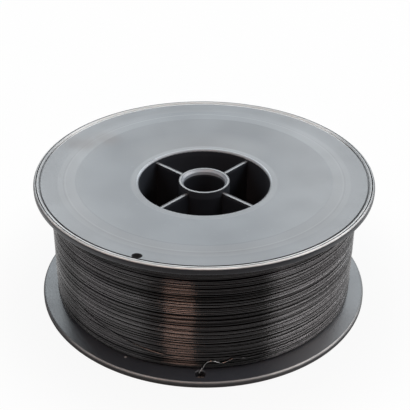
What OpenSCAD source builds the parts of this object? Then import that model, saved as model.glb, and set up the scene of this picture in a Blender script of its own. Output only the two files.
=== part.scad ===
// Spool of stitching wire: a moulded spool with two dished flanges, a barrel and a ribbed spindle tube,
// wound full of round steel wire whose loose end is tucked through a hole in the lower flange.

/* [Flanges] */
// Outside diameter of both flanges
flange_d = 200; // [170:1:240]
// Width of the spool over its two rims
spool_w = 79; // [60:0.5:110]
// Depth of the dish in each flange, from the rim down to the hub
dish = 5.6; // [3:0.1:8]
// Wall thickness of the flanges beside the barrel
flange_wall = 3.2; // [2.4:0.1:4]

/* [Rim] */
// Thickness of the rim
rim_t = 4.1; // [3.2:0.1:5]
// Radius of the rounded edges of the rim
rim_round = 1.3; // [0.6:0.1:1.5]
// Width of the raised lip on the outer face
lip_w = 3.2; // [2.8:0.1:4]
// Height of the lip above the face inside it
lip_h = 0.5; // [0.3:0.1:0.8]
// Width of the groove along the inside of the lip
groove_w = 0.8; // [0.4:0.1:1]
// Depth of the groove below the face
groove_depth = 0.5; // [0.2:0.1:0.8]

/* [Face ring] */
// Distance of the level ring on the outer face from the edge of the flange
ring_inset = 16; // [14:0.2:24]
// Width of the level ring
ring_w = 8.6; // [4:0.2:12]
// Width of the curve that leads from the ring back to the slope of the dish
ring_blend = 6; // [1:0.5:8]

/* [Hub] */
// Inside diameter of the barrel
hub_bore_d = 78; // [66:0.5:90]
// Wall thickness of the barrel
barrel_wall = 2.8; // [2:0.1:4]
// Radius of the rounded edge of the barrel's mouth
mouth_round = 1.4; // [0.6:0.1:1.8]
// Width of the level land around the barrel's mouth
land_w = 4.4; // [3.4:0.1:6]
// Bore of the spindle tube
spindle_d = 25; // [16:0.5:32]
// Wall thickness of the spindle tube
tube_wall = 2.7; // [2:0.1:4]
// Chamfer at each mouth of the spindle tube
tube_chamfer = 1.3; // [0.6:0.1:1.6]
// Number of ribs between the spindle tube and the barrel
rib_count = 4; // [3:1:6]
// Thickness of the ribs
rib_t = 2.2; // [1.6:0.1:3]
// Depth of the ribs' edges below the mouth of the barrel
rib_recess = 2.6; // [1.5:0.1:6]

/* [Wire holes] */
// Diameter of the hole in each flange for the end of the wire
hole_d = 5.4; // [3:0.1:5.6]
// Distance of the holes from the edge of the flange
hole_inset = 6.6; // [6.2:0.1:7]
// Chamfer around the holes on the side of the winding
hole_chamfer = 0.5; // [0.2:0.1:0.8]
// Angle of the hole in the upper flange
upper_hole_angle = 245.5; // [0:0.5:360]
// Angle of the hole in the lower flange
lower_hole_angle = 266.1; // [0:0.1:360]

/* [Wire] */
// Diameter of the wire
wire_d = 0.65; // [0.4:0.05:1]
// Distance of the outside of the winding from the edge of the flanges
coil_inset = 9.1; // [9:0.1:30]
// Width of the winding's shoulders beside the flanges
shoulder_w = 1.2; // [0.4:0.1:5]
// Height of the winding's shoulders
shoulder_h = 2.4; // [1:0.1:6]
// Width of the main gaps between the turns on the outside of the winding
turn_gap_w = 1.3; // [0.8:0.1:2]
// Depth of the main gaps between the turns
turn_gap_depth = 1; // [0.4:0.1:1.6]
// Clearance of the winding from the spool
coil_gap = 0.2; // [0.1:0.05:0.4]
// Angle around the spool that the loose end of the wire covers
tail_sweep = 30; // [15:1:40]
// Height of the loose end above the lower flange
tail_rise = 8.2; // [5:0.2:12]

/* [Hidden] */
$fn = 96;
// How far every cut runs past the faces that it opens
overrun = 1;
// Flat steps in the curve beside the level ring
blend_steps = 6;
// Places of the main gaps between the turns, from the lower shoulder of the winding to the upper one
turn_gap_shares = [0.1, 0.185, 0.265, 0.345, 0.435, 0.54, 0.605, 0.685, 0.765, 0.91];
// Clearance of the loose end from the winding that it lies on
tail_gap = 0.1;
// Number of flat sides on the loose end
tail_sides = 8;
// Rings of the loose end for each stretch of its route
tail_steps = 2;
// Route of the loose end, from the winding into the hole: its place along the sweep, how far it has left
// the winding towards the hole, and its height, each as a share
tail_shares = [
    [1.00, 0.00, 0.96],
    [0.82, 0.00, 0.98],
    [0.66, 0.00, 0.94],
    [0.53, 0.00, 0.92],
    [0.46, 0.00, 0.98],
    [0.39, 0.00, 1.00],
    [0.34, 0.00, 0.92],
    [0.29, 0.00, 0.78],
    [0.24, 0.00, 0.71],
    [0.19, 0.00, 0.80],
    [0.14, 0.00, 0.92],
    [0.09, 0.00, 0.86],
    [0.05, 0.04, 0.65],
    [0.03, 0.28, 0.42],
    [0.01, 0.60, 0.27],
    [-0.01, 0.88, 0.12],
    [0.00, 1.00, -0.10],
    [0.00, 1.00, -0.30],
];

flange_r = flange_d / 2;
half_w = spool_w / 2;
hub_r = hub_bore_d / 2;
barrel_r = hub_r + barrel_wall;
land_r = hub_r + land_w;
lip_r = flange_r - lip_w;
ring_r = flange_r - ring_inset;
hole_r = flange_r - hole_inset;
tube_r = spindle_d / 2 + tube_wall;
coil_r = flange_r - coil_inset;
core_r = barrel_r + coil_gap;
shoulder_r = coil_r - shoulder_w;
tail_r = coil_r + wire_d / 2 + tail_gap;
// Level of the barrel's mouth above the middle of the spool
mouth_z = half_w - dish;

// Slope of a flange's dished outer face
face_slope = (dish - lip_h) / (lip_r - land_r - ring_w - ring_blend / 2);

// Height of that face above the middle of the spool: it climbs from the land to the level ring, and from
// there in a curve back to its slope and up to the lip
function face_z(r) =
    r < ring_r ? mouth_z + face_slope * (min(r, ring_r - ring_w) - land_r)
    : r < ring_r + ring_blend ? face_z(ring_r - ring_w) + face_slope * pow(r - ring_r, 2) / 2 / ring_blend
    : face_z(ring_r - ring_w) + face_slope * (r - ring_r - ring_blend / 2);

// Height of a flange's inner face above the middle of the spool
function inner_z(r) = mouth_z - flange_wall
    + (half_w - rim_t - mouth_z + flange_wall) * (r - barrel_r) / (flange_r - rim_round - barrel_r);

// Height of the winding's end above the middle of the spool
function coil_z(r) = inner_z(r) - coil_gap;

// Rectangle from the origin with rounded corners
module rounded_rectangle(width, height, radius) {
    translate([radius, 0]) square([width - 2 * radius, height]);
    translate([0, radius]) square([width, height - 2 * radius]);
    for (x = [radius, width - radius], y = [radius, height - radius])
        translate([x, y]) circle(radius);
}

// Section of one flange: dished panel with a level ring, rounded mouth, and rim with its lip and groove
module flange_section() {
    difference() {
        union() {
            polygon([
                [hub_r + mouth_round, mouth_z],
                [land_r, mouth_z],
                [ring_r - ring_w, face_z(ring_r - ring_w)],
                for (i = [0 : blend_steps])
                    let (r = ring_r + ring_blend * i / blend_steps)
                    [r, face_z(r)],
                [lip_r, face_z(lip_r)],
                [flange_r - rim_round, face_z(lip_r)],
                [flange_r - rim_round, half_w - rim_t],
                [barrel_r, inner_z(barrel_r)],
                [hub_r + mouth_round, inner_z(barrel_r)],
            ]);
            translate([hub_r + mouth_round, mouth_z - mouth_round]) circle(mouth_round);
            translate([lip_r, half_w - rim_t]) rounded_rectangle(lip_w, rim_t, rim_round);
        }
        translate([lip_r - groove_w, face_z(lip_r) - groove_depth])
            square([groove_w, groove_depth + overrun]);
    }
}

// Flanges and barrel turned in one profile, the same on both sides of the middle
module flanged_barrel() {
    rotate_extrude() {
        translate([hub_r, -mouth_z + mouth_round])
            square([barrel_wall, 2 * (mouth_z - mouth_round)]);
        flange_section();
        mirror([0, 1]) flange_section();
    }
}

// Spindle tube as a solid bar, as long as the barrel
module tube_bar() {
    translate([0, 0, -mouth_z]) cylinder(h = 2 * mouth_z, r = tube_r);
}

// Bore of the spindle tube, opened by a chamfer at both mouths
module spindle_bore() {
    translate([0, 0, -mouth_z - overrun]) cylinder(h = 2 * (mouth_z + overrun), d = spindle_d);
    for (side = [0, 1])
        mirror([0, 0, side])
            translate([0, 0, mouth_z - tube_chamfer])
                cylinder(h = tube_chamfer + overrun,
                         r1 = spindle_d / 2,
                         r2 = spindle_d / 2 + tube_chamfer + overrun);
}

// Ribs from the middle of the tube's wall to the middle of the barrel's wall
module ribs() {
    rib_start = tube_r - tube_wall / 2;
    rib_end = hub_r + barrel_wall / 2;
    rib_z = mouth_z - rib_recess;
    for (i = [0 : rib_count - 1])
        rotate([0, 0, (i + 1 / 2) * 360 / rib_count])
            translate([rib_start, -rib_t / 2, -rib_z])
                cube([rib_end - rib_start, rib_t, 2 * rib_z]);
}

// Hole through one flange for the end of the wire, chamfered on the inner face
module wire_hole(angle) {
    rotate([0, 0, angle])
        translate([hole_r, 0, inner_z(hole_r) - overrun]) {
            cylinder(h = half_w - inner_z(hole_r) + 2 * overrun, d = hole_d);
            cylinder(h = hole_chamfer + overrun,
                     r1 = hole_d / 2 + hole_chamfer + overrun,
                     r2 = hole_d / 2);
        }
}

module spool() {
    color([0.55, 0.57, 0.59])
        translate([0, 0, half_w])
            difference() {
                union() {
                    flanged_barrel();
                    ribs();
                    tube_bar();
                }
                spindle_bore();
                wire_hole(upper_hole_angle);
                mirror([0, 0, 1]) wire_hole(lower_hole_angle);
            }
}

// Winding: fills the spool between its flanges, with a shoulder at each end and gaps between its turns
module wire_coil() {
    top = coil_z(shoulder_r) - shoulder_h;
    color([0.22, 0.2, 0.19])
        translate([0, 0, half_w])
            rotate_extrude()
                polygon([
                    [core_r, -coil_z(core_r)],
                    [shoulder_r, -coil_z(shoulder_r)],
                    [coil_r, -top],
                    for (share = turn_gap_shares)
                        let (turn_gap_z = (2 * share - 1) * top)
                        each [
                            [coil_r, turn_gap_z - turn_gap_w / 2],
                            [coil_r - turn_gap_depth, turn_gap_z],
                            [coil_r, turn_gap_z + turn_gap_w / 2],
                        ],
                    [coil_r, top],
                    [shoulder_r, coil_z(shoulder_r)],
                    [core_r, coil_z(core_r)],
                ]);
}

// Point of the loose end's route, from its three shares
function tail_point(share) =
    let (r = tail_r + share[1] * (hole_r - tail_r),
         angle = lower_hole_angle + share[0] * tail_sweep,
         z = half_w - inner_z(hole_r) + share[2] * tail_rise)
    [r * cos(angle), r * sin(angle), z];

// Point on a smooth curve between b and c, with neighbours a and d, at share t of the way
function curve_point(a, b, c, d, t) =
    b + t / 2 * (c - a + t * (2 * a - 5 * b + 4 * c - d + t * (3 * (b - c) + d - a)));

function unit(v) = v / norm(v);

// Ring of points around a place on the route, square to its direction
function tail_ring(place, direction) =
    let (outward = [place[0], place[1], 0],
         across = unit(cross(direction, outward)),
         over = cross(across, unit(direction)))
    [for (i = [0 : tail_sides - 1])
        place + wire_d / 2 * (across * cos(i * 360 / tail_sides) + over * sin(i * 360 / tail_sides))];

// Loose end of the wire: lies wavy on the winding, then bends down into the hole of the lower flange
module wire_tail() {
    stops = [for (share = tail_shares) tail_point(share)];
    last = len(stops) - 1;
    route = [
        for (i = [0 : last - 1], step = [0 : tail_steps - 1])
            curve_point(stops[max(i - 1, 0)], stops[i], stops[i + 1], stops[min(i + 2, last)],
                        step / tail_steps),
        stops[last],
    ];
    count = len(route);
    points = [
        for (i = [0 : count - 1])
            each tail_ring(route[i], route[min(i + 1, count - 1)] - route[max(i - 1, 0)])
    ];
    walls = [
        for (i = [0 : count - 2], k = [0 : tail_sides - 1])
            let (next = (k + 1) % tail_sides,
                 ring = i * tail_sides)
            [ring + k, ring + next, ring + tail_sides + next, ring + tail_sides + k]
    ];
    start_cap = [for (k = [tail_sides - 1 : -1 : 0]) k];
    end_cap = [for (k = [0 : tail_sides - 1]) (count - 1) * tail_sides + k];
    color([0.3, 0.28, 0.26]) polyhedron(points, concat([start_cap], walls, [end_cap]));
}

spool();
wire_coil();
wire_tail();
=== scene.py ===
import math

import bpy
import numpy as np
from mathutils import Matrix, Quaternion, Vector


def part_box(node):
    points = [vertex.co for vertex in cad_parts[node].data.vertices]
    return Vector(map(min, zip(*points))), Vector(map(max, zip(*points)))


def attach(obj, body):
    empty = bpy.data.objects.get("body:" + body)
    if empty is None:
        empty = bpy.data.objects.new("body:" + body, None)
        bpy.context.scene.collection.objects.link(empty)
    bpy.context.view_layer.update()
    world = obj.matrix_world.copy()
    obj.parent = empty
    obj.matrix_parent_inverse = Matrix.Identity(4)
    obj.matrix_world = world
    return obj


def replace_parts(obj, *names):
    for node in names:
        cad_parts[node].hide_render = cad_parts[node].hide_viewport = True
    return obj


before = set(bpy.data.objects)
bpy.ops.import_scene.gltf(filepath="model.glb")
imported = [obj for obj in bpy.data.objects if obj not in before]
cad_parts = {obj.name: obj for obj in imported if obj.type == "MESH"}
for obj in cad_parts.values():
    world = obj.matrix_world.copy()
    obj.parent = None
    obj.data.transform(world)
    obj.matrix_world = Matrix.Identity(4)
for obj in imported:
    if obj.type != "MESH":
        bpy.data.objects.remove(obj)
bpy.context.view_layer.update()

BODY = "root"

# Sizes of the object, in metres
_, SPOOL_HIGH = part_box("spool")
COIL_LOW, COIL_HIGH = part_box("wire_coil")
FLANGE_R = SPOOL_HIGH.x
SPOOL_H = SPOOL_HIGH.z
COIL_R = COIL_HIGH.x
WIRE_D = 0.00065
PITCH = WIRE_D * 1.01
SHOULDER_W = 0.0012
SHOULDER_H = 0.0024
TURN_GAP = WIRE_D * 1.2
TURN_GAP_SHARES = (0.1, 0.185, 0.265, 0.345, 0.435, 0.54, 0.605, 0.685, 0.765, 0.91)
RIM_T = 0.0041
RIM_ROUND = 0.0013
LIP_W = 0.0032

# Lay of the turns: how far they drift, sink and waver, in wire diameters. The wire steps over to the next
# group within 1 / STEP_RATE of a turn.
DRIFT = 0.5
SINK = 0.2
WAVER = 0.05
STEP_RATE = 7

# Radii on the spool that its colours follow: both edges of a band, or where a change starts and ends
BORE_EDGE_R = (0.0135, 0.0138)
TUBE_LAND_R = (0.0137, 0.0147)
TUBE_R = (0.0150, 0.0155)
HUB_R = (0.0386, 0.0392)
RIB_END_R = (0.0384, 0.0390)
MOUTH_EDGE_R = (0.0388, 0.0402)
MOUTH_LAND_R = (0.0405, 0.0430)
FACE_R = (0.0400, 0.0984)
RING_R = (0.0765, 0.0855)
LIGHT_LINE_R = (0.0816, 0.0819)
DARK_LINE_R = (0.0827, 0.0829)
GROOVE_R = (0.0958, 0.0967)
FAR_FACE_R = (0.0958, 0.0978)
LIP_R = (0.0967, 0.0970)
RIM_LINE_R = (0.0993, 0.0996)
RIM_SIDE_R = (0.0993, 0.0998)

# Heights that they follow: from the middle of the spool, and the last one from the floor
BELOW_RIBS = (0.0292, 0.0297)
BORE_MOUTH = (0.0305, 0.0310)
FLANGE_FACE = (0.0367, 0.0372)
LIP_TOP = (0.0388, 0.0393)
BETWEEN_FLANGES = (0.03, 0.06)

# Painted highlight strip along the ribs' tops: where it fades, as the difference of |x| and |y|, and its
# shift to the front
RIB_LAND_W = (0.0008, 0.0013)
RIB_LAND_FORWARD = 0.0006

# Shade in and around the wire holes
HOLE_SHADE_R = 0.0027
HOLE_SHADE_SOFT = 0.0003

# Spots on the spool, as middle, radius and soft edge: a brown smear on the upper flange and a nick in the
# lower one
SMEARS = (((-0.0740, 0.0420), 0.003, 0.014), ((-0.0600, 0.0500), 0.002, 0.012))
NICK = ((-0.0475, -0.0775), 0.0005, 0.0004)

# Colours of the plastic
PLASTIC_DARK = (0.024, 0.029, 0.037, 1)
PLASTIC_LIGHT = (0.044, 0.049, 0.058, 1)
SCUFF_COLOR = (0.3, 0.3, 0.3, 1)
# Painted sheen on the level ring, at the sides and in front
RING_SHEEN_COLOR = (0.145, 0.148, 0.152, 1)
# Painted sheen on the flanges' faces, by side
FACE_SHEEN_COLOR = (0.105, 0.108, 0.112, 1)
# Painted highlight on the level tops of the ribs and the tube
RIB_TOP_HIGHLIGHT_COLOR = (0.2, 0.2, 0.205, 1)
# Painted highlight on the far side of the hub's mouth edge
MOUTH_EDGE_HIGHLIGHT_COLOR = (0.44, 0.49, 0.53, 1)
LIGHT_LINE_COLOR = (0.14, 0.142, 0.145, 1)
# Painted shade: in the hollows, on the rib shoulders, inside the hub and on the rim sides
SHADE_COLOR = (0.005, 0.006, 0.009, 1)
# Painted highlight in the top of the bore, on its far side
BORE_MOUTH_HIGHLIGHT_COLOR = (0.5, 0.56, 0.62, 1)
# Worn patches and painted highlight on the lip and the rim edges
WEAR_AND_HIGHLIGHT_COLOR = (0.84, 0.86, 0.85, 1)
SMEAR_COLOR = (0.05, 0.032, 0.024, 1)
NICK_COLOR = (0.3, 0.3, 0.31, 1)

# Colours of the wire
WIRE_DARK = (0.006, 0.0058, 0.0057, 1)
# Pale end of the wire's tone, which varies at random and carries painted shade by height
WIRE_PALE = (0.150, 0.145, 0.146, 1)
WIRE_STREAK = (0.105, 0.101, 0.101, 1)
WIRE_FLECK = (0.45, 0.44, 0.43, 1)
# Painted highlight for tones past 1: the loose end near the hole and the glints
WIRE_HIGHLIGHT = (0.55, 0.54, 0.53, 1)

# Floor: its grey, the width beside the rim that stays grey in reflections, and where the pale shadow ends
FLOOR_GREY = (0.32, 0.32, 0.32, 1)
CONTACT_W = 0.012
SHADOW_R = 0.17

# How bright the turns are at each height: painted shade under the upper flange at the top, and darker
# towards the bottom
TONE_BY_HEIGHT = ((0.005, 0.75), (0.02, 0.95), (0.045, 1.2), (0.06, 1.15), (0.066, 0.85), (0.073, 0.6))

# Painted glints along one line down the turns
GLINT_ANGLE = math.radians(248)
GLINT_WIDTH = math.radians(1)
GLINT_LOW = 0.051
GLINT_HIGH = 0.068

# Stray turn that crosses the others: angles in degrees, radii outside the winding and heights
STRAY_STOPS = (
    (209, -0.0010, 0.0254), (213, -0.0001, 0.0247), (219, 0.0003, 0.0236), (226, 0.0003, 0.0216),
    (234, 0.0003, 0.0192), (241, 0.0003, 0.0172), (248, 0.0003, 0.0153), (254, 0.0000, 0.0139),
    (258, -0.0010, 0.0132),
)

# Loose end of the wire: its route from the winding into the hole of the lower flange, in shares of the
# sweep, of the way out to the hole, and of the rise
TAIL_GAP = 0.0001
TAIL_R = COIL_R + WIRE_D / 2 + TAIL_GAP
HOLE_R = 0.0934
HOLE_ANGLE = math.radians(266.1)
UPPER_HOLE_ANGLE = math.radians(245.5)
HOLE_Z = 0.004538
TAIL_SWEEP = math.radians(30)
TAIL_RISE = 0.0082
TAIL_SHARES = (
    (1.40, -0.35, 0.98), (1.20, -0.25, 0.97), (1.00, 0.00, 0.96), (0.82, 0.00, 0.98), (0.66, 0.00, 0.94),
    (0.53, 0.00, 0.92), (0.46, 0.00, 0.98), (0.39, 0.00, 1.00), (0.34, 0.00, 0.92), (0.29, 0.00, 0.78),
    (0.24, 0.00, 0.71), (0.19, 0.00, 0.80), (0.14, 0.00, 0.92), (0.09, 0.00, 0.86), (0.05, 0.04, 0.65),
    (0.03, 0.28, 0.42), (0.01, 0.60, 0.27), (-0.01, 0.88, 0.12), (0.00, 1.00, -0.10), (0.00, 1.00, -0.30),
)

# Camera, placed about the middle of the upper rim
CAMERA_AZIMUTH = math.radians(-3.1)
CAMERA_ELEVATION = math.radians(29.113)
CAMERA_DISTANCE = 0.5478
CAMERA_ROLL = math.radians(0.508)
CAMERA_LENS_MM = 81.3
CAMERA_SENSOR_MM = 36
AIM_RIGHT = 0.000577
AIM_DROP = 0.022834

# Lamps: azimuth from the back of the object towards +X and elevation in degrees, then distance, width,
# height, radiance and roll in degrees
COOL = (0.915, 1.0, 1.055)
WARM = (1.0, 0.99, 0.96)
SIDE = (1.0, 0.98, 0.99)
BROWN = (1.0, 0.62, 0.48)
LAMPS = (
    ("back_low", 2, 20, 1.0, 1.3, 0.42, 2.5, 0, COOL),
    ("back_high", 10, 40, 1.0, 1.7, 0.32, 3.5, 0, COOL),
    ("overhead", 0, 87, 0.9, 0.4, 0.85, 0.9, 0, WARM),
    ("right", 91.5, 39, 1.0, 1.34, 0.36, 4.9, 0, SIDE),
    ("left", -101.5, 39, 1.0, 0.98, 0.36, 1.75, 0, SIDE),
    ("warm_strip", 202.6, 47, 0.78, 0.215, 0.26, 6.6, 9, BROWN),
)

random = np.random.default_rng(7)


def make_camera():
    data = bpy.data.cameras.new("camera")
    data.lens = CAMERA_LENS_MM
    data.sensor_width = CAMERA_SENSOR_MM
    camera = bpy.data.objects.new("camera", data)
    bpy.context.scene.collection.objects.link(camera)
    back = Vector((
        math.sin(CAMERA_AZIMUTH) * math.cos(CAMERA_ELEVATION),
        -math.cos(CAMERA_AZIMUTH) * math.cos(CAMERA_ELEVATION),
        math.sin(CAMERA_ELEVATION),
    ))
    camera.location = Vector((0, 0, SPOOL_H)) + back * CAMERA_DISTANCE
    right = Vector((math.cos(CAMERA_AZIMUTH), math.sin(CAMERA_AZIMUTH), 0))
    aim = Vector((0, 0, SPOOL_H - AIM_DROP)) + right * AIM_RIGHT
    camera.rotation_mode = "QUATERNION"
    camera.rotation_quaternion = (
        (aim - camera.location).to_track_quat("-Z", "Y")
        @ Quaternion((0, 0, 1), CAMERA_ROLL)
    )
    bpy.context.scene.camera = camera


# Node helpers


def new_tree(material_name):
    material = bpy.data.materials.new(material_name)
    material.use_nodes = True
    material.node_tree.nodes.clear()
    return material, material.node_tree


def add_node(tree, kind, inputs=None, **settings):
    node = tree.nodes.new(kind)
    for name, value in settings.items():
        setattr(node, name, value)
    for name, value in (inputs or {}).items():
        if isinstance(value, bpy.types.NodeSocket):
            tree.links.new(value, node.inputs[name])
        else:
            node.inputs[name].default_value = value
    return node


def noise(tree, vector, scale, detail=2.0, roughness=0.5):
    node = add_node(tree, "ShaderNodeTexNoise", {
        "Vector": vector, "Scale": scale, "Detail": detail, "Roughness": roughness,
    })
    return node.outputs["Fac"]


def stretched(tree, vector, scale):
    node = add_node(tree, "ShaderNodeMapping", {"Vector": vector, "Scale": scale})
    return node.outputs["Vector"]


def map_range(tree, value, low, high, to_low, to_high):
    node = add_node(tree, "ShaderNodeMapRange", {
        "Value": value, "From Min": low, "From Max": high, "To Min": to_low, "To Max": to_high,
    }, interpolation_type="SMOOTHSTEP")
    return node.outputs["Result"]


def math_node(tree, operation, a, b=0.0):
    node = add_node(tree, "ShaderNodeMath", {0: a, 1: b}, operation=operation)
    return node.outputs["Value"]


def product(tree, *factors):
    result = factors[0]
    for factor in factors[1:]:
        result = math_node(tree, "MULTIPLY", result, factor)
    return result


def largest(tree, *masks):
    result = masks[0]
    for mask in masks[1:]:
        result = math_node(tree, "MAXIMUM", result, mask)
    return result


def mix_colors(tree, factor, a, b):
    node = add_node(tree, "ShaderNodeMix", data_type="RGBA")
    for name, value in (("Factor", factor), ("A", a), ("B", b)):
        index = {"Factor": 0, "A": 6, "B": 7}[name]
        if isinstance(value, bpy.types.NodeSocket):
            tree.links.new(value, node.inputs[index])
        else:
            node.inputs[index].default_value = value
    return node.outputs[2]


def object_coordinates(tree):
    return add_node(tree, "ShaderNodeTexCoord").outputs["Object"]


def bump(tree, height, distance, strength, normal=None):
    node = add_node(tree, "ShaderNodeBump", {
        "Height": height, "Distance": distance, "Strength": strength,
    })
    if normal is not None:
        tree.links.new(normal, node.inputs["Normal"])
    return node.outputs["Normal"]


def finish_material(tree, shader):
    output = add_node(tree, "ShaderNodeOutputMaterial")
    tree.links.new(shader.outputs[0], output.inputs["Surface"])


# Materials


def distance_to(tree, value, place):
    return math_node(tree, "ABSOLUTE", math_node(tree, "SUBTRACT", value, place))


def polar_mask(tree, value, low, high, soft):
    """Mask that is 1 where the value lies from low to high, with soft edges outside them."""
    rising = map_range(tree, value, low - soft, low, 0, 1)
    falling = map_range(tree, value, high, high + soft, 1, 0)
    return math_node(tree, "MULTIPLY", rising, falling)


def spot_mask(tree, flat, middle, radius, soft):
    """Mask of a round spot about a middle, seen along the axis."""
    node = add_node(tree, "ShaderNodeVectorMath", {0: flat, 1: (*middle, 0)}, operation="DISTANCE")
    return map_range(tree, node.outputs["Value"], radius, radius + soft, 1, 0)


def hole_mask(tree, flat, angle):
    """Mask of the wire hole at that angle, with the edge around it."""
    middle = (HOLE_R * math.cos(angle), HOLE_R * math.sin(angle))
    return spot_mask(tree, flat, middle, HOLE_SHADE_R, HOLE_SHADE_SOFT)


class Spot:
    """Where a point of the spool lies, as sockets for the masks of its material."""

    def __init__(self, tree):
        self.place = object_coordinates(tree)
        axes = add_node(tree, "ShaderNodeSeparateXYZ", {"Vector": self.place}).outputs
        self.x, self.y, self.z = axes["X"], axes["Y"], axes["Z"]
        self.flat = add_node(tree, "ShaderNodeCombineXYZ", {"X": self.x, "Y": self.y}).outputs[0]
        length = add_node(tree, "ShaderNodeVectorMath", {0: self.flat}, operation="LENGTH")
        self.radius = length.outputs["Value"]
        self.from_middle = distance_to(tree, self.z, SPOOL_H / 2)
        normal = add_node(tree, "ShaderNodeNewGeometry").outputs["True Normal"]
        tilt = add_node(tree, "ShaderNodeSeparateXYZ", {"Vector": normal}).outputs["Z"]
        self.level = distance_to(tree, tilt, 0.0)
        self.upper = map_range(tree, self.z, *BETWEEN_FLANGES, 0, 1)
        self.lower = map_range(tree, self.z, *BETWEEN_FLANGES, 1, 0)
        self.outside = map_range(tree, self.from_middle, *FLANGE_FACE, 0, 1)
        self.near = product(tree, map_range(tree, self.y, -0.07, -0.03, 0.35, 0), self.upper)
        self.behind = map_range(tree, self.y, -0.01, 0.015, 0, 0.8)


def ring_sheen_mask(tree, spot, on_ring):
    """Painted sheen on the level ring, at the sides and in front, and a paler land all round the hub's
    mouth.
    """
    sideways = map_range(tree, distance_to(tree, spot.x, 0.0), 0.045, 0.08, 0, 0.75)
    ring = product(tree, on_ring, largest(tree, sideways, spot.near))
    mouth = product(tree, polar_mask(tree, spot.radius, *MOUTH_LAND_R, 0.0015), 0.4)
    return math_node(tree, "ADD", ring, mouth)


def face_sheen_mask(tree, spot, on_ring):
    """Painted sheen on the faces of the flanges, by side, in front, at the back and around the hub."""
    right = map_range(tree, spot.x, 0.01, 0.07, 0, 0.78)
    left = product(
        tree, map_range(tree, spot.x, -0.08, -0.01, 0.35, 0),
        map_range(tree, spot.radius, 0.065, 0.085, 1, 2.2), spot.upper,
    )
    front = product(tree, spot.near, map_range(tree, spot.radius, 0.075, 0.085, 0, 1))
    far = product(
        tree, map_range(tree, spot.y, 0.02, 0.06, 0, 0.35), math_node(tree, "SUBTRACT", 1.0, on_ring),
    )
    around_hub = product(
        tree, map_range(tree, spot.radius, 0.042, 0.075, 0.9, 0),
        map_range(tree, spot.y, 0.005, 0.045, 0, 1),
    )
    sides = math_node(tree, "ADD", right, left)
    ends = math_node(tree, "ADD", front, largest(tree, far, around_hub))
    return product(tree, largest(tree, sides, ends), polar_mask(tree, spot.radius, *FACE_R, 0.0010))


def rib_masks(tree, spot):
    """Level tops of the ribs and the tube, painted with a highlight, and their shoulders beside a strip
    along the middle, painted with shade.
    """
    tops = product(
        tree, map_range(tree, spot.level, 0.9, 0.95, 0, 1), map_range(tree, spot.radius, *RIB_END_R, 1, 0),
    )
    forward = math_node(tree, "ADD", spot.y, RIB_LAND_FORWARD)
    off_rib = distance_to(tree, distance_to(tree, spot.x, 0.0), distance_to(tree, forward, 0.0))
    rib_land = product(
        tree, map_range(tree, off_rib, *RIB_LAND_W, 1, 0), map_range(tree, spot.radius, *TUBE_R, 0, 1),
    )
    land = largest(tree, rib_land, polar_mask(tree, spot.radius, *TUBE_LAND_R, 0.0003))
    shoulders = math_node(tree, "SUBTRACT", tops, product(tree, tops, land))
    return tops, product(tree, shoulders, 0.9)


def hollow_shade_mask(tree, spot):
    """Painted shade in the groove inside the lip, darker towards the front, and in and around the wire
    holes.
    """
    groove = product(
        tree, polar_mask(tree, spot.radius, *GROOVE_R, 0.0002), spot.outside,
        map_range(tree, spot.y, -0.07, 0.05, 1, 0),
    )
    upper_hole = product(tree, hole_mask(tree, spot.flat, UPPER_HOLE_ANGLE), spot.upper)
    lower_hole = product(tree, hole_mask(tree, spot.flat, HOLE_ANGLE), spot.lower)
    return largest(tree, groove, math_node(tree, "ADD", upper_hole, lower_hole))


def lip_wear_and_highlight_mask(tree, spot):
    """Lip of the upper rim and edge of the lower rim, worn in patches and given a painted highlight that is
    strongest in front and varies by side, and a painted highlight on the far face beside the lip.
    """
    lip = product(
        tree, map_range(tree, spot.radius, *LIP_R, 0, 1),
        map_range(tree, spot.from_middle, *LIP_TOP, 0, 1), spot.upper,
    )
    edge_left = product(
        tree, map_range(tree, spot.x, -0.09, -0.07, 0.1, 0.6), map_range(tree, spot.x, -0.05, 0, 1, 0.68),
    )
    edge_right = map_range(tree, spot.x, 0.01, 0.05, 0, 0.4)
    rim_line = product(
        tree, polar_mask(tree, spot.radius, *RIM_LINE_R, 0.0005),
        math_node(tree, "ADD", edge_left, edge_right), spot.lower,
    )
    front_and_back = math_node(
        tree, "ADD", map_range(tree, spot.y, -0.085, -0.02, 1, 0.25),
        map_range(tree, spot.y, 0.02, 0.085, 0, 0.12),
    )
    wear_and_highlight = product(
        tree, map_range(tree, noise(tree, spot.place, 90, 3), 0.3, 0.7, 0.75, 1), front_and_back,
        map_range(tree, spot.x, -0.06, 0, 0.8, 1), map_range(tree, spot.x, 0.04, 0.08, 1, 0.8),
    )
    far_face_highlight = product(
        tree, polar_mask(tree, spot.radius, *FAR_FACE_R, 0.0004), spot.outside,
        map_range(tree, spot.y, 0.02, 0.06, 0, 0.7),
    )
    return largest(tree, product(tree, largest(tree, lip, rim_line), wear_and_highlight), far_face_highlight)


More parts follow.
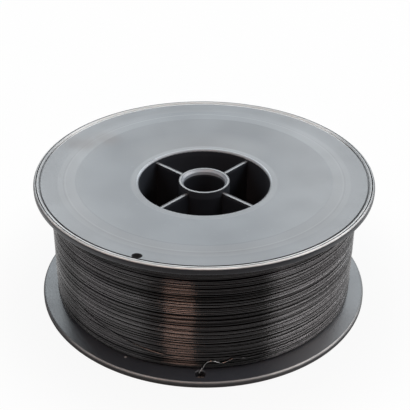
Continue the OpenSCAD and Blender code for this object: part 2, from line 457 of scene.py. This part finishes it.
def plastic_material(name, ior):
    """Black satin moulded plastic with blotches, scuffs, fine lines, worn rims, a smear and a nick, and
    painted sheen, highlights and shade.
    """
    material, tree = new_tree(name)
    spot = Spot(tree)
    blotch = noise(tree, spot.place, 38, 4)
    grain = noise(tree, spot.place, 2600, 2)
    scuff = noise(tree, stretched(tree, spot.place, (1, 1, 2.5)), 420, 5, 0.65)
    on_ring = polar_mask(tree, spot.radius, *RING_R, 0.0012)
    tops, shoulders = rib_masks(tree, spot)
    # Painted highlight on the far side of the hub's mouth edge
    mouth_edge_highlight = product(
        tree, polar_mask(tree, spot.radius, *MOUTH_EDGE_R, 0.0002), spot.behind,
        map_range(tree, spot.level, 0.05, 0.3, 0, 1),
    )
    light_line = product(tree, polar_mask(tree, spot.radius, *LIGHT_LINE_R, 0.0004), 0.5)
    dark_line = polar_mask(tree, spot.radius, *DARK_LINE_R, 0.0004)
    # Painted shade in the dark line, the groove, the holes and on the rib shoulders
    shaded = largest(tree, product(tree, dark_line, 0.1), hollow_shade_mask(tree, spot), shoulders)
    # Painted shade inside the hub, below the ribs
    inside = product(
        tree, map_range(tree, spot.radius, *HUB_R, 1, 0),
        map_range(tree, spot.from_middle, *BELOW_RIBS, 0.65, 0),
    )
    # Painted highlight in the top of the bore, on its far side
    bore_mouth_highlight = product(
        tree, map_range(tree, spot.radius, *BORE_EDGE_R, 1, 0),
        map_range(tree, spot.from_middle, *BORE_MOUTH, 0, 1), spot.behind,
    )
    # Painted shade on the rims' sides, stronger on the lower rim
    rim_side_shade = product(
        tree, map_range(tree, spot.radius, *RIM_SIDE_R, 0, 1),
        map_range(tree, spot.z, *BETWEEN_FLANGES, 0.7, 0.2),
    )
    smear = product(
        tree, largest(tree, *(spot_mask(tree, spot.flat, *place) for place in SMEARS)),
        map_range(tree, blotch, 0.3, 0.7, 0.15, 0.6),
    )
    # Coats over the blotched plastic: scuffs, painted sheen, painted highlights, painted shade, wear with
    # painted highlight, a smear and a nick
    coats = (
        (map_range(tree, scuff, 0.62, 0.74, 0, 0.12), SCUFF_COLOR),
        (ring_sheen_mask(tree, spot, on_ring), RING_SHEEN_COLOR),
        (face_sheen_mask(tree, spot, on_ring), FACE_SHEEN_COLOR),
        (product(tree, tops, 0.55), RIB_TOP_HIGHLIGHT_COLOR),
        (mouth_edge_highlight, MOUTH_EDGE_HIGHLIGHT_COLOR),
        (light_line, LIGHT_LINE_COLOR),
        (largest(tree, shaded, inside), SHADE_COLOR),
        (bore_mouth_highlight, BORE_MOUTH_HIGHLIGHT_COLOR),
        (rim_side_shade, SHADE_COLOR),
        (lip_wear_and_highlight_mask(tree, spot), WEAR_AND_HIGHLIGHT_COLOR),
        (smear, SMEAR_COLOR),
        (product(tree, spot_mask(tree, spot.flat, *NICK), spot.lower), NICK_COLOR),
    )
    color = mix_colors(tree, blotch, PLASTIC_DARK, PLASTIC_LIGHT)
    for mask, coat in coats:
        color = mix_colors(tree, mask, color, coat)

    satin = map_range(tree, blotch, 0.3, 0.7, 0.33, 0.4)
    lined = bump(tree, dark_line, 0.00002, 0.5)
    shader = add_node(tree, "ShaderNodeBsdfPrincipled", {
        "Base Color": color,
        "Roughness": math_node(tree, "ADD", satin, product(tree, shaded, 0.4)),
        "IOR": ior,
        "Normal": bump(tree, grain, 0.00004, 0.25, lined),
    })
    finish_material(tree, shader)
    return material


def wire_material():
    """Drawn steel wire with a dark oxide skin, streaked along the turns and worn in small flecks; its tone
    also carries painted shade and, past 1, a painted highlight.
    """
    material, tree = new_tree("wire_steel")
    place = object_coordinates(tree)
    tone = add_node(tree, "ShaderNodeAttribute", attribute_name="tone").outputs["Fac"]
    streak = noise(tree, stretched(tree, place, (60, 60, 1500)), 1, 3)
    fleck = noise(tree, stretched(tree, place, (300, 300, 1500)), 1, 2)
    streaked = product(
        tree, map_range(tree, streak, 0.35, 0.7, 0, 0.35), map_range(tree, tone, 0.1, 0.3, 0, 1),
    )
    color = mix_colors(tree, tone, WIRE_DARK, WIRE_PALE)
    color = mix_colors(tree, streaked, color, WIRE_STREAK)
    color = mix_colors(tree, map_range(tree, fleck, 0.74, 0.8, 0, 0.6), color, WIRE_FLECK)
    # Tones past 1 take the painted highlight
    color = mix_colors(tree, map_range(tree, tone, 1, 2, 0, 1), color, WIRE_HIGHLIGHT)
    shader = add_node(tree, "ShaderNodeBsdfPrincipled", {
        "Base Color": color,
        "Metallic": 1.0,
        "Roughness": map_range(tree, streak, 0.3, 0.7, 0.1, 0.17),
    })
    finish_material(tree, shader)
    return material


def floor_material():
    """Pale floor: white to the camera and in reflections beside the object, plain below and before it."""
    material, tree = new_tree("floor")
    place = object_coordinates(tree)
    axes = add_node(tree, "ShaderNodeSeparateXYZ", {"Vector": place})
    radius = add_node(tree, "ShaderNodeVectorMath", {0: place}, operation="LENGTH").outputs["Value"]
    beside = map_range(tree, radius, FLANGE_R - 0.003, FLANGE_R - 0.001, 0, 1)
    behind_front = map_range(tree, axes.outputs["Y"], -0.16, -0.116, 0, 1)
    rays = add_node(tree, "ShaderNodeLightPath").outputs
    reflected = math_node(tree, "ADD", rays["Is Glossy Ray"], rays["Is Transmission Ray"])
    off_contact = map_range(tree, radius, FLANGE_R, FLANGE_R + CONTACT_W, 0, 1)
    seen = largest(tree, rays["Is Camera Ray"], product(tree, reflected, behind_front, off_contact))
    clear = map_range(tree, radius, FLANGE_R, SHADOW_R, 0.93, 0.985)
    share = product(tree, seen, beside, clear)
    diffuse = add_node(tree, "ShaderNodeBsdfDiffuse", {"Color": FLOOR_GREY})
    white = add_node(tree, "ShaderNodeEmission", {"Color": (1, 1, 1, 1), "Strength": 1.0})
    mix = add_node(tree, "ShaderNodeMixShader", {"Fac": share})
    tree.links.new(diffuse.outputs[0], mix.inputs[1])
    tree.links.new(white.outputs[0], mix.inputs[2])
    finish_material(tree, mix)
    return material


# Winding


def mesh_object(name, points, faces, material):
    mesh = bpy.data.meshes.new(name)
    mesh.from_pydata(points, [], faces)
    mesh.polygons.foreach_set("use_smooth", [True] * len(mesh.polygons))
    mesh.materials.append(material)
    mesh.update()
    piece = bpy.data.objects.new(name, mesh)
    bpy.context.scene.collection.objects.link(piece)
    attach(piece, BODY)
    return piece


def tube_faces(rings, sides):
    """Quads of a tube of that many rings, and the two caps."""
    ring = np.arange(rings - 1)[:, None] * sides
    k = np.arange(sides)[None, :]
    after = (k + 1) % sides
    quads = np.stack([ring + k, ring + after, ring + sides + after, ring + sides + k], axis=-1)
    caps = [list(range(sides))[::-1], list(range((rings - 1) * sides, rings * sides))]
    return quads.reshape(-1, 4).tolist() + caps


def smoothstep(x):
    x = np.clip(x, 0, 1)
    return x * x * (3 - 2 * x)


def slow_noise(u, knots_per_turn):
    """Smooth random values from -1 to 1 along the turns."""
    count = int(u[-1] * knots_per_turn) + 4
    values = random.uniform(-1, 1, count)
    x = u * knots_per_turn
    i = x.astype(int)
    t = smoothstep(x - i)
    return values[i] * (1 - t) + values[i + 1] * t


def winding_outline(inset):
    """Corners of the winding's outline for wire centres inset from it: lengths, radii and heights."""
    low = COIL_LOW.z + WIRE_D / 2
    high = COIL_HIGH.z - WIRE_D / 2
    slope = math.hypot(SHOULDER_W, SHOULDER_H)
    straight = high - low - 2 * SHOULDER_H
    lengths = np.cumsum((0, slope, straight, slope))
    radii = COIL_R - WIRE_D / 2 - inset - np.array((SHOULDER_W, 0, 0, SHOULDER_W))
    heights = np.array((low, low + SHOULDER_H, high - SHOULDER_H, high))
    return lengths, radii, heights


def turn_groups(corners, looseness):
    """Groups of turns in a layer, as the number of turns in each and the gap after it."""
    groups = []
    at = 0.0
    for share in (*TURN_GAP_SHARES, 1.0):
        end = corners[-1]
        if share < 1:
            end = corners[1] + share * (corners[2] - corners[1]) - TURN_GAP / 2
        while end - at > 4 * PITCH:
            turns = random.uniform(1.7, 2.7)
            gap = looseness * WIRE_D * random.uniform(0.45, 0.85)
            groups.append((turns, gap))
            at += turns * PITCH + gap
        gap = looseness * TURN_GAP * random.uniform(0.5, 0.8)
        groups.append(((end - at) / PITCH, gap))
        at = end + gap
    return groups


def ring_noise(angle, knots):
    """Smooth random values from -1 to 1 that repeat with every turn."""
    values = random.uniform(-1, 1, knots)
    x = angle / (2 * math.pi) * knots
    i = np.floor(x).astype(int)
    t = smoothstep(x - i)
    return values[i % knots] * (1 - t) + values[(i + 1) % knots] * t


def wound_layer(name, material, inset, looseness, tones, segments, sides):
    """One layer of turns, laid in small groups that drift apart and together around the winding."""
    corners, radii, heights = winding_outline(inset)
    groups = turn_groups(corners, looseness)
    u = np.arange(0, sum(turns for turns, _ in groups), 1 / segments)
    angle = 2 * math.pi * u
    lengths = u * PITCH
    drift, sunk = np.zeros((2, len(u)))
    start = 0
    for turns, gap in groups:
        step = smoothstep((u - start) * STEP_RATE)
        drift = drift + (DRIFT * ring_noise(angle, 9) - drift) * step
        sunk = sunk + (SINK + SINK * ring_noise(angle, 7) - sunk) * step
        start += turns
        lengths = lengths + gap * smoothstep((u - start) * STEP_RATE)
    lengths = lengths + WIRE_D * (looseness * drift + WAVER * slow_noise(u, 2.3))
    lengths = np.clip(lengths, 0, corners[-1])
    radius = np.interp(lengths, corners, radii) - WIRE_D * looseness * sunk
    height = np.interp(lengths, corners, heights)
    shade = 0.5 + 0.4 * slow_noise(u, 1) + 0.2 * slow_noise(u, 7)
    # Painted shade by height: darker under the upper flange, and darker towards the bottom
    height_tone = np.interp(height, *np.array(TONE_BY_HEIGHT).T)
    tone = np.minimum(tones[0] + (tones[1] - tones[0]) * np.clip(shade, 0, 1) * height_tone, 1)
    # Painted glints on some turns, along one line down the winding
    glinting = np.abs(angle % (2 * math.pi) - GLINT_ANGLE) < GLINT_WIDTH * (1 + slow_noise(u, 1))
    glinting &= (height > GLINT_LOW) & (height < GLINT_HIGH) & (slow_noise(u, 1) > 0.3)
    tone = np.where(glinting, tone + looseness * 0.8, tone)
    phi = np.arange(sides) * 2 * math.pi / sides
    ring_r = radius[:, None] + WIRE_D / 2 * np.cos(phi)
    ring_z = height[:, None] + WIRE_D / 2 * np.sin(phi)
    points = np.stack([
        ring_r * np.cos(angle)[:, None], ring_r * np.sin(angle)[:, None], ring_z,
    ], axis=-1).reshape(-1, 3)
    return wire_piece(name, points, len(u), sides, tone, material)


def wire_piece(name, points, rings, sides, tone, material):
    piece = mesh_object(name, points.tolist(), tube_faces(rings, sides), material)
    attribute = piece.data.attributes.new("tone", "FLOAT", "POINT")
    attribute.data.foreach_set("value", np.repeat(tone, sides).astype(np.float32))
    return piece


def make_winding(material):
    outer = wound_layer(
        "wire_turns", material, inset=0.0, looseness=1.0, tones=(0.05, 1.3), segments=110, sides=8,
    )
    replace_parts(outer, "wire_coil")
    # The layer below gets darker tones: painted shade where it shows between the outer turns
    wound_layer(
        "wire_turns_below", material, inset=WIRE_D * 1.1, looseness=0.0, tones=(0.02, 0.15),
        segments=80, sides=6,
    )


def curve_point(a, b, c, d, t):
    """Point on a smooth curve between b and c, with neighbours a and d, at share t of the way."""
    return b + t / 2 * (c - a + t * (2 * a - 5 * b + 4 * c - d + t * (3 * (b - c) + d - a)))


def bent_wire(name, stops, tones, material):
    """Wire along a smooth curve through the stops, with its tone from the first to the last."""
    steps, sides = 6, 10
    stops = np.concatenate([stops[:1], stops, stops[-1:]])
    route = [
        curve_point(*stops[i:i + 4], step / steps)
        for i in range(len(stops) - 3) for step in range(steps)
    ]
    route = np.array(route + [stops[-1]])
    along = np.gradient(route, axis=0)
    along = along / np.linalg.norm(along, axis=1, keepdims=True)
    across = np.cross(along, route * (1, 1, 0))
    across = across / np.linalg.norm(across, axis=1, keepdims=True)
    over = np.cross(across, along)
    phi = np.arange(sides)[:, None] * 2 * math.pi / sides
    points = route[:, None] + WIRE_D / 2 * (across[:, None] * np.cos(phi) + over[:, None] * np.sin(phi))
    tone = np.linspace(*tones, len(route))
    return wire_piece(name, points.reshape(-1, 3), len(route), sides, tone, material)


def make_loose_end(material):
    """Loose end that lies wavy on the winding and bends down into the hole of the lower flange."""
    share, out, rise = np.array(TAIL_SHARES).T
    radius = TAIL_R + out * (HOLE_R - TAIL_R)
    angle = HOLE_ANGLE + share * TAIL_SWEEP
    stops = np.stack([radius * np.cos(angle), radius * np.sin(angle), HOLE_Z + rise * TAIL_RISE], axis=-1)
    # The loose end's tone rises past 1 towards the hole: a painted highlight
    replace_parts(bent_wire("wire_end", stops, (0.7, 1.8), material), "wire_tail")


def make_stray_turn(material):
    angle, out, height = np.array(STRAY_STOPS).T
    angle = np.radians(angle)
    radius = COIL_R + out
    stops = np.stack([radius * np.cos(angle), radius * np.sin(angle), height], axis=-1)
    bent_wire("wire_stray", stops, (0.6, 0.6), material)


# Rims


def make_rims(material):
    """Finely turned skins over the two rims, whose rounded edges make the outline of the spool."""
    steps, segments = 8, 480
    quarter = np.linspace(0, math.pi / 2, steps)
    inner = (FLANGE_R - LIP_W + RIM_ROUND, SPOOL_H - RIM_ROUND)
    outer = (FLANGE_R - RIM_ROUND, SPOOL_H - RIM_ROUND)
    below = (FLANGE_R - RIM_ROUND, SPOOL_H - RIM_T + RIM_ROUND)
    profile = np.concatenate([
        np.stack(
            [inner[0] - RIM_ROUND * np.cos(quarter), inner[1] + RIM_ROUND * np.sin(quarter)], axis=-1,
        )[2:],
        np.stack([outer[0] + RIM_ROUND * np.sin(quarter), outer[1] + RIM_ROUND * np.cos(quarter)], axis=-1),
        np.stack([below[0] + RIM_ROUND * np.cos(quarter), below[1] - RIM_ROUND * np.sin(quarter)], axis=-1),
    ])
    angle = np.arange(segments) * 2 * math.pi / segments
    rows = np.arange(len(profile) - 1)[:, None] * segments
    k = np.arange(segments)[None, :]
    after = (k + 1) % segments
    faces = np.stack([rows + segments + k, rows + segments + after, rows + after, rows + k], axis=-1)
    for name, flip in (("upper_rim", False), ("lower_rim", True)):
        height = SPOOL_H - profile[:, 1] if flip else profile[:, 1]
        points = np.stack([
            profile[:, :1] * np.cos(angle), profile[:, :1] * np.sin(angle),
            np.repeat(height[:, None], segments, axis=1),
        ], axis=-1)
        quads = faces[..., ::-1] if flip else faces
        skin = mesh_object(name, points.reshape(-1, 3).tolist(), quads.reshape(-1, 4).tolist(), material)


# Stage


def make_floor():
    bpy.ops.mesh.primitive_plane_add(size=8, location=(0, 0, 0))
    floor = bpy.context.object
    floor.name = "floor"
    floor.data.materials.append(floor_material())


def area_light(name, azimuth, elevation, distance, width, height, radiance, roll, color):
    """Rectangular lamp of that radiance, facing the top of the spool and hidden from the camera."""
    data = bpy.data.lights.new(name, "AREA")
    data.shape = "RECTANGLE"
    data.size = width
    data.size_y = height
    data.energy = radiance * math.pi * width * height
    data.color = color
    lamp = bpy.data.objects.new(name, data)
    bpy.context.scene.collection.objects.link(lamp)
    away = Vector((
        math.sin(math.radians(azimuth)) * math.cos(math.radians(elevation)),
        math.cos(math.radians(azimuth)) * math.cos(math.radians(elevation)),
        math.sin(math.radians(elevation)),
    ))
    lamp.location = Vector((0, 0, SPOOL_H)) + away * distance
    lamp.rotation_mode = "QUATERNION"
    lamp.rotation_quaternion = (
        (-away).to_track_quat("-Z", "Y")
        @ Quaternion((0, 0, 1), math.radians(roll))
    )
    lamp.visible_camera = False


def make_world():
    """Plain room, pale behind the object and dark in front of it."""
    world = bpy.data.worlds.new("studio")
    bpy.context.scene.world = world
    world.use_nodes = True
    tree = world.node_tree
    tree.nodes.clear()
    direction = add_node(tree, "ShaderNodeTexCoord").outputs["Generated"]
    axes = add_node(tree, "ShaderNodeSeparateXYZ", {"Vector": direction})
    sideways = product(tree, axes.outputs["X"], 0.2)
    towards_back = math_node(tree, "ADD", axes.outputs["Y"], sideways)
    room = map_range(tree, towards_back, -0.4, 0.9, 0.025, 0.5)
    background = add_node(tree, "ShaderNodeBackground", {"Color": (1, 1, 1, 1), "Strength": room})
    output = add_node(tree, "ShaderNodeOutputWorld")
    tree.links.new(background.outputs[0], output.inputs["Surface"])


# Build

bpy.context.scene.view_settings.view_transform = "Standard"
make_camera()
make_floor()
for lamp in LAMPS:
    area_light(*lamp)
make_world()

plastic = plastic_material("spool_plastic", 1.62)
burnished = plastic_material("rim_plastic", 1.5)
wire = wire_material()
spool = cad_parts["spool"]
spool.data.materials.clear()
spool.data.materials.append(plastic)
make_rims(burnished)
make_winding(wire)
make_loose_end(wire)
make_stray_turn(wire)
